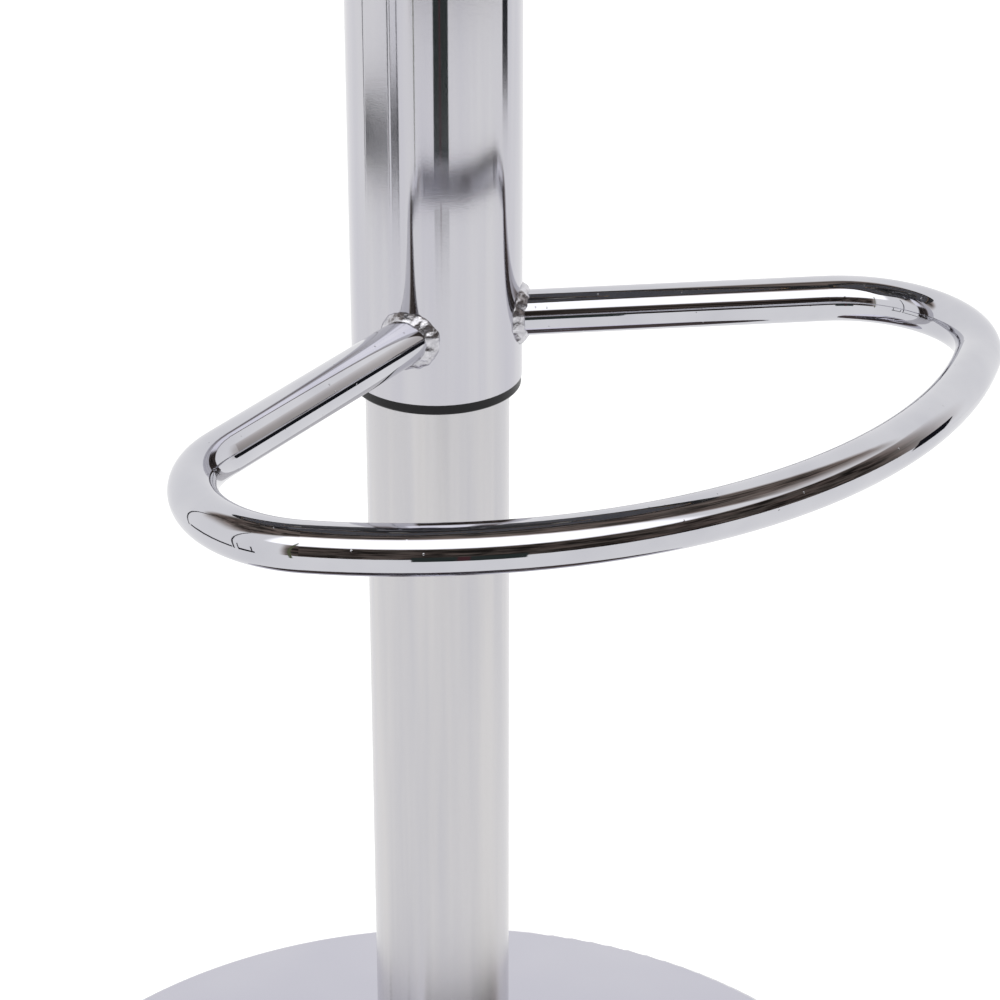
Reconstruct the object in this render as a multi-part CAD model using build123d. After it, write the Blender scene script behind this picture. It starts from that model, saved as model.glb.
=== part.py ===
from build123d import *
from math import cos, radians, sin, sqrt, tan
import os

# Height-adjustable swivel stool with a gas spring, a D-shaped foot ring and a padded seat.
# Row frame in millimetres: Z is up from the floor, the stool's axis is X = Y = 0 and the
# foot ring reaches out to the front, which is -Y. The gas spring is fully extended.

# ---- fits and gaps -------------------------------------------------------------------
running_gap = 0.08      # radial play between two pieces that slide or turn on each other
sliding_gap = 0.30      # radial play where a glide only steadies a tube
seat_gap = 0.02         # radial play left in a pressed or tapered seat
hole_gap = 0.30         # radial play of a screw in a plain hole

# ---- column and sleeve, the driving tubes --------------------------------------------
sleeve_radius = 30.0
sleeve_wall = 1.5
column_radius = 25.5
column_wall = 1.5
sleeve_overlap = 77.5   # of the column still inside the sleeve, spring extended
lift_stroke = 210.0     # how far the seat can be lowered
top_clearance = 10.0    # between the column's bush and the socket, seat at its lowest
column_foot = 8.0

# ---- base ----------------------------------------------------------------------------
base_radius = 192.5
rubber_height = 2.5     # the shell's lip stands this far off the floor
rim_height = 8.0
rim_fillet = 4.0
dome_rise = 10.0
hub_radius = 60.0       # flat middle of the shell, under the collar
shell_wall = 1.5
lip_width = 12.0
rubber_width = 2.5      # the part of the floor ring that stands inside the lip
rubber_upstand = 6.0
ballast_radius = 172.0
ballast_foot = 4.0
ballast_thickness = 6.0
boss_radius = 56.0
flange_radius = 49.0
flange_thickness = 4.0
collar_radius = 58.0
collar_rim = 4.0
collar_height = 19.0
collar_neck = 7.0
collar_wall = 1.2
weld_leg = 3.5
bolt_count = 4
bolt_circle = 38.0      # radius
bolt_size = 8.0
bolt_head_flats = 13.0
bolt_head_height = 5.3
bolt_washer_thickness = 1.6

# ---- gas spring and its thrust bearing -----------------------------------------------
cylinder_radius = 14.0
cylinder_wall = 2.0
stop_gap = 1.0          # between the cylinder and its bumper, seat at its lowest
taper_length = 46.0
taper_shrink = 1.15     # loss of radius over the taper
cylinder_above_socket = 2.0
gland_height = 16.0
rod_radius = 5.0
rod_neck_radius = 4.0
piston_height = 14.0
piston_ring_height = 3.0
piston_ring_depth = 1.2
valve_height = 34.0
end_disc_foot = 12.0
end_disc_thickness = 4.0
race_radius = 13.0
race_thickness = 2.0
ball_radius = 2.0
ball_count = 8
ball_circle = 9.0
ball_gap = 0.02
cage_thickness = 2.0
bumper_radius = 12.0
bumper_height = 16.0
clip_thickness = 1.2
rod_washer_thickness = 1.6
rod_end_length = 3.0    # what shows of the rod under its clip
bush_length = 100.0
bush_flange_height = 5.0

# ---- release pin and lever -----------------------------------------------------------
pin_radius = 3.0
pin_head_radius = 4.0
pin_stand = 4.0         # height of the pin's crown over the cylinder's end
pin_dome = 0.8
pin_gap = 0.5
lever_pivot_x = -30.0
lever_arm_thickness = 5.0
lever_arm_width = 14.0
lever_arm_overlap = 6.0  # reach of the arm past the stool's axis
lever_boss_radius = 7.0
lever_boss_length = 10.0
lever_hub_radius = 5.0  # round the pivot
lever_rod_radius = 4.0
lever_reach = 172.0
lever_droop = 13.0      # degrees below level, outside the dish
lever_bend_radius = 22.0
lever_bend_x = 66.0
grip_radius = 8.5
grip_length = 62.0
grip_bore_depth = 46.0
pivot_radius = 2.5
bracket_wall = 2.5
bracket_length = 15.0
bracket_gap = 2.0       # between the arm and each ear

# ---- sleeve's glide, foot ring -------------------------------------------------------
glide_lip = 3.5
glide_lip_inset = 0.4
glide_insert = 34.0
ring_tube_radius = 8.0
ring_tube_wall = 1.5
ring_above_foot = 23.9  # height of the ring's centreline over the sleeve's lower edge
ring_front_radius = 197.0
ring_front_setback = 12.6   # centre of the front curve, behind the stool's axis
ring_arm_angle = 25.7   # degrees that each arm runs forward
ring_arm_offset = 7.3   # the arms' lines cross this far in front of the stool's axis
ring_corner_radius = 42.7
bead_width = 4.2
bead_height = 3.2

# ---- seat ----------------------------------------------------------------------------
board_bottom = 740.0
board_thickness = 12.0
plate_thickness = 2.5
dish_depth = 24.0
dish_radius = 54.0
dish_fillet = 6.0
plate_side = 170.0
plate_corner = 18.0
socket_radius = 20.0
socket_above_dish = 3.0
slot_width = 13.0
slot_floor = 4.0        # height of the lever slot's lower edge over the dish floor
screw_spacing = 130.0
screw_size = 6.0
screw_length = 12.0     # under the plate
screw_head_radius = 6.0
screw_head_height = 3.6
screw_washer_thickness = 1.4
t_nut_flange_radius = 9.5
t_nut_flange = 1.2
t_nut_barrel_radius = 4.0
t_nut_barrel = 9.0
seat_width = 376.0
seat_depth = 366.0
seat_corner = 84.0
foam_height = 76.0
foam_fillet = 24.0
cover_wall = 1.5
cover_turn = 28.0       # how far the cover is turned in under the board
dust_cover_thickness = 0.8
dust_cover_gap = 2.0

# ---- heights that follow from the sizes above ----------------------------------------
rim_top = rubber_height + rim_height
hub_top = rim_top + dome_rise
sleeve_bore = sleeve_radius - sleeve_wall
column_bore = column_radius - column_wall
dish_floor = board_bottom - dish_depth
sleeve_top = dish_floor - plate_thickness
socket_top = dish_floor + socket_above_dish
cylinder_top = socket_top + cylinder_above_socket
pin_top = cylinder_top + pin_stand
lever_height = pin_top + pin_gap + lever_arm_thickness / 2
column_top = socket_top - taper_length - lift_stroke - bush_flange_height - top_clearance
sleeve_foot = column_top - sleeve_overlap
ring_height = sleeve_foot + ring_above_foot
end_disc_top = end_disc_foot + end_disc_thickness
ball_height = end_disc_top + race_thickness + ball_gap + ball_radius
upper_race_foot = ball_height + ball_radius + ball_gap
rod_shoulder = upper_race_foot + race_thickness
bumper_foot = rod_shoulder + ball_gap
cylinder_foot = bumper_foot + bumper_height + stop_gap + lift_stroke
clip_foot = end_disc_foot - rod_washer_thickness - clip_thickness - 2 * ball_gap
gland_top = cylinder_foot + gland_height
board_top = board_bottom + board_thickness
bolt_shoulder = hub_top + flange_thickness - bolt_size * 1.5


def rod(radius, bottom, top):
    """A solid cylinder on the stool's axis between two heights."""
    return Pos(0, 0, bottom) * Cylinder(radius, top - bottom, align=(Align.CENTER, Align.CENTER, Align.MIN))


def tube(outer, inner, bottom, top):
    """A hollow cylinder on the stool's axis between two heights."""
    return rod(outer, bottom, top) - rod(inner, bottom, top)


def spun(section):
    """The solid that a section drawn in radius and height makes when it turns about the axis."""
    return revolve(Plane.XZ * section, Axis.Z)


def around(piece, count, radius):
    """Copies of a piece, evenly spaced on a circle about the axis."""
    return [place * piece for place in PolarLocations(radius, count)]


def group(pieces):
    """Several separate solids as one node."""
    return Compound(children=[solid for piece in pieces for solid in piece.solids()])


def pressed_section(points, bends, wall):
    """A sheet section: an outside line, bent with the given radii, and its copy one wall to its right."""
    vectors = [Vector(*p) for p in points]
    runs = [(b - a).normalized() for a, b in zip(vectors, vectors[1:])]
    inward = [Vector(run.Y, -run.X) for run in runs]
    inner = [vectors[0] + inward[0] * wall]
    inner_bends = []
    for corner, before, after, bend in zip(vectors[1:], inward, inward[1:], bends):
        inner.append(corner + (before + after) * (wall / (1 + before.dot(after))))
        turns_right = before.X * after.Y - before.Y * after.X < 0
        inner_bends.append(bend - wall if turns_right else bend + wall)
    inner.append(vectors[-1] + inward[-1] * wall)
    outside = FilletPolyline(*vectors, radius=list(bends))
    inside = FilletPolyline(*inner, radius=inner_bends)
    ends = [Line(vectors[0], inner[0]), Line(vectors[-1], inner[-1])]
    return make_face([*outside.edges(), *inside.edges(), *ends])


# ---- base ----------------------------------------------------------------------------
def dome_radius():
    """Radius of the arc that starts level at the hub and drops by the dome's rise at the rim."""
    run = base_radius - hub_radius
    return (run**2 + dome_rise**2) / (2 * dome_rise)


def dome_height(radius, depth=0.0):
    """Height of the dome, or of a surface that deep under it, at a radius outside the hub."""
    arc = dome_radius()
    return hub_top - arc + sqrt((arc - depth) ** 2 - (radius - hub_radius) ** 2)


def base_shell():
    """The spun cover of the base: a flat hub, a low dome, a rounded rim and a lip turned in below."""
    bore = column_radius + hole_gap
    inside = base_radius - shell_wall
    arc = dome_radius()
    under = inside, dome_height(inside, shell_wall)
    outline = [
        Line((bore, hub_top), (hub_radius, hub_top)),
        RadiusArc((hub_radius, hub_top), (base_radius, rim_top), arc),
        Polyline(
            (base_radius, rim_top),
            (base_radius, rubber_height),
            (base_radius - lip_width, rubber_height),
            (base_radius - lip_width, rubber_height + shell_wall),
            (inside, rubber_height + shell_wall),
            under,
        ),
        RadiusArc(under, (hub_radius, hub_top - shell_wall), -(arc - shell_wall)),
        Polyline((hub_radius, hub_top - shell_wall), (bore, hub_top - shell_wall), (bore, hub_top)),
    ]
    section = make_face([edge for line in outline for edge in line.edges()])
    outer_corner = section.vertices().sort_by_distance((base_radius, rim_top))[0]
    section = fillet(outer_corner, rim_fillet)
    inner_corner = section.vertices().sort_by_distance(under)[0]
    section = fillet(inner_corner, rim_fillet - shell_wall)
    lip_corner = section.vertices().sort_by_distance((base_radius, rubber_height))[0]
    shell = spun(fillet(lip_corner, shell_wall * 0.8))
    for place in bolt_places():
        shell -= place * rod(bolt_size / 2 + hole_gap, hub_top - shell_wall, hub_top)
    return shell


def bolt_places():
    return PolarLocations(bolt_circle, bolt_count, start_angle=45)


def base_ballast():
    """The cast disc that gives the base its weight; its boss meets the shell's hub from below."""
    top = ballast_foot + ballast_thickness
    disc = rod(ballast_radius, ballast_foot, top)
    disc = chamfer(disc.edges().filter_by(GeomType.CIRCLE).group_by(Axis.Z)[-1], 2.0)
    casting = disc + rod(boss_radius, ballast_foot, hub_top - shell_wall)
    casting -= rod(column_radius + hole_gap, 0, hub_top)
    pocket = rod(bolt_head_flats * 0.7, 0, bolt_shoulder)
    shank = rod(bolt_size / 2 + hole_gap, 0, hub_top)
    for place in bolt_places():
        casting -= place * (pocket + shank)
    return casting


def base_floor_ring():
    """The rubber ring that the stool stands on, under the lip and up inside it."""
    lip_bore = base_radius - lip_width
    inner = lip_bore - rubber_width
    tread = tube(base_radius - shell_wall, inner, 0, rubber_height)
    tread = chamfer(tread.edges().group_by(Axis.Z)[0], 0.6)
    return tread + tube(lip_bore - seat_gap, inner, 0, rubber_upstand)


def base_bolts():
    """Hexagon bolts that pull the ballast and the shell up against the column's flange."""
    hexagon = RegularPolygon(bolt_head_flats / 2, 6, major_radius=False)
    head_top = bolt_shoulder - bolt_washer_thickness
    head = Pos(0, 0, head_top - bolt_head_height) * extrude(hexagon, bolt_head_height)
    bolt = head + rod(bolt_size / 2, head_top - 0.5, hub_top + flange_thickness)
    return group([place * bolt for place in bolt_places()])


def base_bolt_washers():
    foot = bolt_shoulder - bolt_washer_thickness
    washer = tube(bolt_size * 0.95, bolt_size / 2 + 0.2, foot, bolt_shoulder)
    return group([place * washer for place in bolt_places()])


def column_flange():
    """The plate welded round the column, with a threaded hole for each base bolt."""
    plate = tube(flange_radius, column_radius, hub_top, hub_top + flange_thickness)
    for place in bolt_places():
        plate -= place * rod(bolt_size / 2 + seat_gap, hub_top, hub_top + flange_thickness)
    return plate


def column_flange_weld():
    foot = hub_top + flange_thickness
    corner = (column_radius, foot)
    outer = (column_radius + weld_leg, foot)
    upper = (column_radius, foot + weld_leg)
    return spun(make_face(Polyline(corner, outer, upper, corner)))


def column_collar():
    """The bright cover over the flange: a rim, a swept shoulder and a neck round the column."""
    neck = column_radius + hole_gap + collar_wall
    top = hub_top + collar_height
    outline = [
        (neck, top),
        (neck, top - collar_neck),
        (collar_radius, hub_top + collar_rim),
        (collar_radius, hub_top),
    ]
    return spun(pressed_section(outline, [6.0, 3.0], collar_wall))


def lower_column():
    body = tube(column_radius, column_bore, column_foot, column_top)
    return chamfer(body.edges().group_by(Axis.Z)[0], 0.5)


def column_end_disc():
    """The disc welded into the column's foot, which carries the thrust bearing."""
    return tube(column_bore, rod_neck_radius + hole_gap, end_disc_foot, end_disc_top)


def column_guide_bush():
    """The plastic bush that guides the gas cylinder; its flange also steadies the sleeve."""
    bore = cylinder_radius + running_gap
    body = tube(column_bore - seat_gap, bore, column_top - bush_length, column_top)
    flange = tube(sleeve_bore - sliding_gap, bore, column_top, column_top + bush_flange_height)
    return body + chamfer(flange.edges().filter_by(GeomType.CIRCLE).group_by(Axis.Z)[-1], 0.8)


# ---- thrust bearing and gas spring ---------------------------------------------------
def bearing_race(foot, bore):
    return tube(race_radius, bore, foot, foot + race_thickness)


def bearing_cage():
    """The ball cage: a flat ring with a pocket for each ball."""
    foot = ball_height - cage_thickness / 2
    ring = tube(race_radius - 0.5, rod_radius + 0.6, foot, foot + cage_thickness)
    pocket = rod(ball_radius + running_gap, foot, foot + cage_thickness)
    for hole in around(pocket, ball_count, ball_circle):
        ring -= hole
    return ring


def bearing_balls():
    return group(around(Pos(0, 0, ball_height) * Sphere(ball_radius), ball_count, ball_circle))


def piston_rod():
    """The rod: a necked end through the bearing, and a spigot that holds the piston."""
    shaft = rod(rod_radius, rod_shoulder, gland_top + 2.0)
    neck = rod(rod_neck_radius, clip_foot - rod_end_length, rod_shoulder)
    neck = chamfer(neck.edges().group_by(Axis.Z)[0], 0.6)
    groove = tube(rod_neck_radius, rod_neck_radius - 0.8, clip_foot, clip_foot + clip_thickness)
    spigot = rod(rod_neck_radius, gland_top + 2.0, gland_top + 2.0 + piston_height)
    return shaft + (neck - groove) + spigot


def piston_groove():
    middle = gland_top + 2.0 + piston_height / 2
    return middle - piston_ring_height / 2, middle + piston_ring_height / 2


def piston_head():
    radius = cylinder_radius - cylinder_wall - running_gap
    body = tube(radius, rod_neck_radius + seat_gap, gland_top + 2.0, gland_top + 2.0 + piston_height)
    return body - tube(radius, radius - piston_ring_depth, *piston_groove())


def piston_ring():
    """The seal in the piston's groove."""
    outer = cylinder_radius - cylinder_wall - running_gap / 2
    inner = cylinder_radius - cylinder_wall - running_gap - piston_ring_depth + seat_gap
    low, high = piston_groove()
    return tube(outer, inner, low + seat_gap, high - seat_gap)


def rubber_bumper():
    """The stop that the cylinder meets when the seat is at its lowest."""
    body = tube(bumper_radius, rod_radius + seat_gap, bumper_foot, bumper_foot + bumper_height)
    upper_edges = body.edges().filter_by(GeomType.CIRCLE).group_by(Axis.Z)[-1]
    return chamfer(upper_edges.sort_by(SortBy.RADIUS)[-1], 2.0)


def rod_washer():
    foot = clip_foot + clip_thickness + ball_gap
    return tube(rod_neck_radius * 2.2, rod_neck_radius + seat_gap, foot, foot + rod_washer_thickness)


def rod_clip():
    """An open spring clip in the rod's groove."""
    bore = rod_neck_radius - 0.8 + seat_gap
    ring = tube(rod_neck_radius * 1.8, bore, clip_foot, clip_foot + clip_thickness)
    mouth = Pos(rod_neck_radius * 1.5, 0, clip_foot) * Box(
        rod_neck_radius * 3, rod_neck_radius * 1.2, clip_thickness * 4
    )
    return ring - mouth


def cone_section(grow, foot, top):
    """Half of the taper's section, widened by a radial gap, over a stretch of its height."""
    start = cylinder_top - cylinder_above_socket - taper_length
    slope = taper_shrink / taper_length

    def radius(z):
        return cylinder_radius + grow - slope * max(0.0, z - start)

    knee = [(radius(start), start)] if foot < start < top else []
    return [(0, foot), (radius(foot), foot), *knee, (radius(top), top), (0, top)]


def gas_cylinder():
    """The pressure tube: straight where it runs in the bush, tapered where it seats in the socket."""
    section = cone_section(0.0, cylinder_foot, cylinder_top)
    body = spun(make_face(Polyline(*section, section[0])))
    body -= rod(cylinder_radius - cylinder_wall, cylinder_foot, cylinder_top - valve_height)
    body -= rod(cylinder_radius - cylinder_wall - taper_shrink, cylinder_foot, cylinder_top - 4.0)
    return body - rod(pin_head_radius + running_gap, cylinder_foot, cylinder_top)


def cylinder_gland():
    """The rod's guide and seal, rolled into the cylinder's foot."""
    outer = cylinder_radius - cylinder_wall - seat_gap
    return tube(outer, rod_radius + running_gap, cylinder_foot, gland_top)


def valve_body():
    """The valve that the release pin opens, in the top of the cylinder."""
    outer = cylinder_radius - cylinder_wall - taper_shrink - seat_gap
    top = cylinder_top - 4.0 - seat_gap
    return tube(outer, pin_radius + running_gap, cylinder_top - valve_height, top)


def release_pin():
    """The button on the gas spring: a stem in the valve and a domed head."""
    head = rod(pin_head_radius, cylinder_top - 0.5, pin_top)
    head = fillet(head.edges().filter_by(GeomType.CIRCLE).group_by(Axis.Z)[-1], pin_dome)
    stem = rod(pin_radius, cylinder_top - valve_height + 4.0, cylinder_top)
    return head + stem


# ---- sleeve and foot ring ------------------------------------------------------------
def upper_sleeve():
    body = tube(sleeve_radius, sleeve_bore, sleeve_foot, sleeve_top)
    return chamfer(body.edges().group_by(Axis.Z)[0].sort_by(SortBy.RADIUS)[-1], 0.4)


def sleeve_glide_bush():
    """The black bush in the sleeve's foot, with a lip that shows below the sleeve's edge."""
    bore = column_radius + sliding_gap
    insert = tube(sleeve_bore - seat_gap, bore, sleeve_foot, sleeve_foot + glide_insert)
    lip = tube(sleeve_radius - glide_lip_inset, bore, sleeve_foot - glide_lip, sleeve_foot)
    lip = fillet(lip.edges().filter_by(GeomType.CIRCLE).group_by(Axis.Z)[0].sort_by(SortBy.RADIUS)[-1], 0.8)
    return insert + lip


def ring_corner():
    """Centre of the right-hand corner curve and its two tangent points, seen from above."""
    along = Vector(cos(radians(ring_arm_angle)), -sin(radians(ring_arm_angle)))
    outward = Vector(along.Y, -along.X)
    start = Vector(0, -ring_arm_offset)
    centre = Vector(0, ring_front_setback)
    offset = start + outward * ring_corner_radius - centre
    middle = offset.dot(along)
    reach = (ring_front_radius - ring_corner_radius) ** 2 - offset.length**2
    travel = -middle + sqrt(middle**2 + reach)
    corner = start + along * travel + outward * ring_corner_radius
    return corner, start + along * travel, centre + (corner - centre).normalized() * ring_front_radius


def ring_path():
    """Centreline of the foot ring: two arms, two corner curves and the front curve."""
    corner, arm_end, front_end = ring_corner()
    along = (arm_end - Vector(0, -ring_arm_offset)).normalized()
    start = Vector(0, -ring_arm_offset) + along * (sleeve_radius * 0.4)
    between = ((arm_end - corner) + (front_end - corner)).normalized()
    knee = corner + between * ring_corner_radius

    def left(point):
        return Vector(-point.X, point.Y)

    front = Vector(0, ring_front_setback - ring_front_radius)
    edges = [
        Line(start, arm_end),
        ThreePointArc(arm_end, knee, front_end),
        ThreePointArc(front_end, front, left(front_end)),
        ThreePointArc(left(front_end), left(knee), left(arm_end)),
        Line(left(arm_end), left(start)),
    ]
    return Pos(0, 0, ring_height) * Wire([line.edge() for line in edges])


def arm_plane():
    """A plane across the right-hand arm, on the stool's side of the weld."""
    along = Vector(cos(radians(ring_arm_angle)), -sin(radians(ring_arm_angle)), 0)
    return Plane(origin=Vector(0, -ring_arm_offset, ring_height), z_dir=along)


def foot_ring():
    """The bent tube, coped at both ends to lie on the sleeve."""
    path = ring_path()
    across = Plane(origin=path @ 0, z_dir=path % 0)
    profile = across * (Circle(ring_tube_radius) - Circle(ring_tube_radius - ring_tube_wall))
    bent = sweep(profile, path=path)
    return bent - rod(sleeve_radius, ring_height - 40, ring_height + 40)


def foot_ring_welds():
    """One saddle-shaped bead round each arm where it meets the sleeve."""
    reach = sleeve_radius * 2
    outer = extrude(arm_plane() * Circle(ring_tube_radius + bead_width), reach)
    arm = extrude(arm_plane() * Circle(ring_tube_radius), reach)
    skin = tube(sleeve_radius + bead_height, sleeve_radius, ring_height - 40, ring_height + 40)
    right = (outer & skin) - arm
    return group([right, mirror(right, Plane.YZ)])


# ---- seat plate, lever ---------------------------------------------------------------
def screw_places():
    return GridLocations(screw_spacing, screw_spacing, 2, 2)


def seat_plate():
    """The pressed plate under the seat: a flat square flange round a round dish for the lever."""
    top = board_bottom
    bottom = top - plate_thickness
    square = RectangleRounded(plate_side, plate_side, plate_corner)
    flange = Pos(0, 0, bottom) * extrude(square, plate_thickness)
    flange -= rod(dish_radius + dish_fillet, bottom, top)
    outline = [
        (dish_radius + dish_fillet, bottom),
        (dish_radius, bottom),
        (dish_radius, sleeve_top),
        (socket_radius, sleeve_top),
    ]
    dish = spun(pressed_section(outline, [dish_fillet * 0.6, dish_fillet], plate_thickness))
    slot = Pos(-dish_radius, 0, (dish_floor + slot_floor + bottom) / 2) * Box(
        dish_fillet * 4, slot_width, bottom - dish_floor - slot_floor
    )
    plate = flange + dish - slot
    for place in screw_places():
        plate -= place * rod(screw_size / 2 + hole_gap, bottom, top)
    return plate


def taper_socket():
    """The tapered socket that the gas cylinder seats in, welded through the dish."""
    foot = socket_top - taper_length
    section = cone_section(seat_gap, foot, socket_top)
    return rod(socket_radius, foot, socket_top) - spun(make_face(Polyline(*section, section[0])))


def sleeve_top_weld():
    corner = (sleeve_radius, sleeve_top)
    outer = (sleeve_radius + weld_leg, sleeve_top)
    lower = (sleeve_radius, sleeve_top - weld_leg)
    return spun(make_face(Polyline(corner, outer, lower, corner)))


def lever_bracket():
    """A channel on the dish floor whose two ears hold the pivot pin."""
    half = lever_arm_width / 2 + bracket_gap + bracket_wall
    height = lever_height + pivot_radius * 2.4 - dish_floor
    block = Pos(lever_pivot_x, 0, dish_floor + height / 2) * Box(bracket_length, 2 * half, height)
    gap = Pos(lever_pivot_x, 0, dish_floor + bracket_wall + height / 2) * Box(
        bracket_length, 2 * (half - bracket_wall), height
    )
    bore = Rot(90, 0, 0) * Cylinder(pivot_radius + seat_gap, 4 * half)
    pivot = Pos(lever_pivot_x, 0, lever_height) * bore
    return block - gap - pivot


def lever_pivot_pin():
    length = lever_arm_width + 2 * (bracket_gap + bracket_wall) + 4.0
    return Pos(lever_pivot_x, 0, lever_height) * Rot(90, 0, 0) * Cylinder(pivot_radius, length)


def lever_pivot_clips():
    """A push-on clip at each end of the pivot pin, outside the ears."""
    side = lever_arm_width / 2 + bracket_gap + bracket_wall + 0.6
    clip = Rot(90, 0, 0) * (Cylinder(pivot_radius * 1.9, 0.8) - Cylinder(pivot_radius + seat_gap, 0.8))
    return group([Pos(lever_pivot_x, y, lever_height) * clip for y in (-side, side)])


def lever_arm():
    """The flat arm over the release pin, with a boss that takes the lever rod."""
    pivot_length = -lever_pivot_x + bracket_length / 2 + 2.0
    inner = lever_arm_overlap
    bar = Pos((inner - pivot_length) / 2, 0, lever_height) * Box(
        inner + pivot_length, lever_arm_width, lever_arm_thickness
    )
    bar = fillet(bar.edges().filter_by(Axis.Z).group_by(Axis.X)[-1], 3.0)
    boss = Pos(-pivot_length, 0, lever_height) * Rot(0, -90, 0) * Cylinder(
        lever_boss_radius, lever_boss_length, align=(Align.CENTER, Align.CENTER, Align.MIN)
    )
    bore = Pos(-pivot_length - 2.0, 0, lever_height) * Rot(0, -90, 0) * Cylinder(
        lever_rod_radius + seat_gap, lever_boss_length, align=(Align.CENTER, Align.CENTER, Align.MIN)
    )
    at_pivot = Pos(lever_pivot_x, 0, lever_height) * Rot(90, 0, 0)
    hub = at_pivot * Cylinder(lever_hub_radius, lever_arm_width)
    return bar + hub + boss - bore - at_pivot * Cylinder(pivot_radius + running_gap, lever_arm_width)


def lever_path():
    """Centreline of the lever rod: level through the dish's slot, then drooping under the seat."""
    start = -(-lever_pivot_x + bracket_length / 2 + 2.0) - 2.0 - seat_gap
    drop = (lever_reach - lever_bend_x) * tan(radians(lever_droop))
    bend = (-lever_bend_x, 0, lever_height)
    points = [(start, 0, lever_height), bend, (-lever_reach, 0, lever_height - drop)]
    return FilletPolyline(*points, radius=lever_bend_radius)


def lever_rod():
    path = lever_path()
    across = Plane(origin=path @ 0, z_dir=path % 0)
    return sweep(across * Circle(lever_rod_radius), path=Wire(path.edges()))


def lever_grip():
    """The moulded grip on the rod's end, swelling towards its tip."""
    path = lever_path()
    tip = Plane(origin=path @ 1, z_dir=path % 1)
    back = grip_bore_depth
    front = grip_length - grip_bore_depth
    section = [
        (0, -back),
        (grip_radius * 0.72, -back),
        (grip_radius, -back * 0.15),
        (grip_radius * 0.96, front),
        (0, front),
    ]
    body = revolve(Plane.XZ * make_face(Polyline(*section, section[0])), Axis.Z)
    body = fillet(body.edges().filter_by(GeomType.CIRCLE).group_by(Axis.Z)[-1], 4.0)
    body = fillet(body.edges().filter_by(GeomType.CIRCLE).group_by(Axis.Z)[0], 1.2)
    body -= Pos(0, 0, -back) * Cylinder(
        lever_rod_radius + seat_gap, back, align=(Align.CENTER, Align.CENTER, Align.MIN)
    )
    return tip * body


# ---- seat ----------------------------------------------------------------------------
def seat_outline(inset):
    """The seat's plan, a rounded rectangle, drawn in by an inset."""
    return RectangleRounded(seat_width - 2 * inset, seat_depth - 2 * inset, seat_corner - inset)


def seat_block(inset, bottom, top):
    return Pos(0, 0, bottom) * extrude(seat_outline(inset), top - bottom)


def seat_board():
    """The plywood board, with a recessed T-nut in each screw hole."""
    board = seat_block(cover_wall, board_bottom, board_top)
    for place in screw_places():
        board -= place * rod(t_nut_barrel_radius, board_bottom, board_top)
        board -= place * rod(t_nut_flange_radius, board_top - t_nut_flange, board_top)
    return board


def seat_t_nuts():
    bore = screw_size / 2 + seat_gap
    nut = tube(t_nut_barrel_radius - seat_gap, bore, board_top - t_nut_barrel, board_top)
    nut += tube(t_nut_flange_radius - seat_gap, bore, board_top - t_nut_flange, board_top)
    return group([place * nut for place in screw_places()])


def seat_screws():
    """Pan-headed screws up through the plate into the T-nuts."""
    shoulder = board_bottom - plate_thickness - screw_washer_thickness
    head = rod(screw_head_radius, shoulder - screw_head_height, shoulder)
    head = fillet(head.edges().group_by(Axis.Z)[0], screw_head_height * 0.5)
    socket = Pos(0, 0, shoulder - screw_head_height) * extrude(
        RegularPolygon(2.0, 6, major_radius=False), screw_head_height * 0.6
    )
    screw = head - socket + rod(screw_size / 2, shoulder, shoulder + plate_thickness + screw_length)
    return group([place * screw for place in screw_places()])


def seat_screw_washers():
    top = board_bottom - plate_thickness
    washer = tube(screw_head_radius + 1.2, screw_size / 2 + 0.2, top - screw_washer_thickness, top)
    return group([place * washer for place in screw_places()])


def seat_foam():
    block = seat_block(cover_wall, board_top, board_top + foam_height)
    return fillet(block.edges().group_by(Axis.Z)[-1], foam_fillet)


def seat_cover():
    """The upholstery: a skin over the foam and the board's edge, turned in under the board."""
    outer = seat_block(0, board_bottom - cover_wall, board_top + foam_height + cover_wall)
    outer = fillet(outer.edges().group_by(Axis.Z)[-1], foam_fillet + cover_wall)
    outer = fillet(outer.edges().group_by(Axis.Z)[0], cover_wall)
    core = seat_block(cover_wall, board_bottom, board_top + foam_height)
    core = fillet(core.edges().group_by(Axis.Z)[-1], foam_fillet)
    opening = seat_block(cover_turn, board_bottom - 2 * cover_wall, board_bottom)
    return outer - core - opening


def seat_dust_cover():
    """The black backing cloth under the board, cut out round the seat plate."""
    sheet = seat_block(cover_turn + dust_cover_gap, board_bottom - dust_cover_thickness, board_bottom)
    side = plate_side + 2 * dust_cover_gap
    cut = Pos(0, 0, board_bottom - dust_cover_thickness) * extrude(
        RectangleRounded(side, side, plate_corner + dust_cover_gap), dust_cover_thickness
    )
    return sheet - cut


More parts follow.
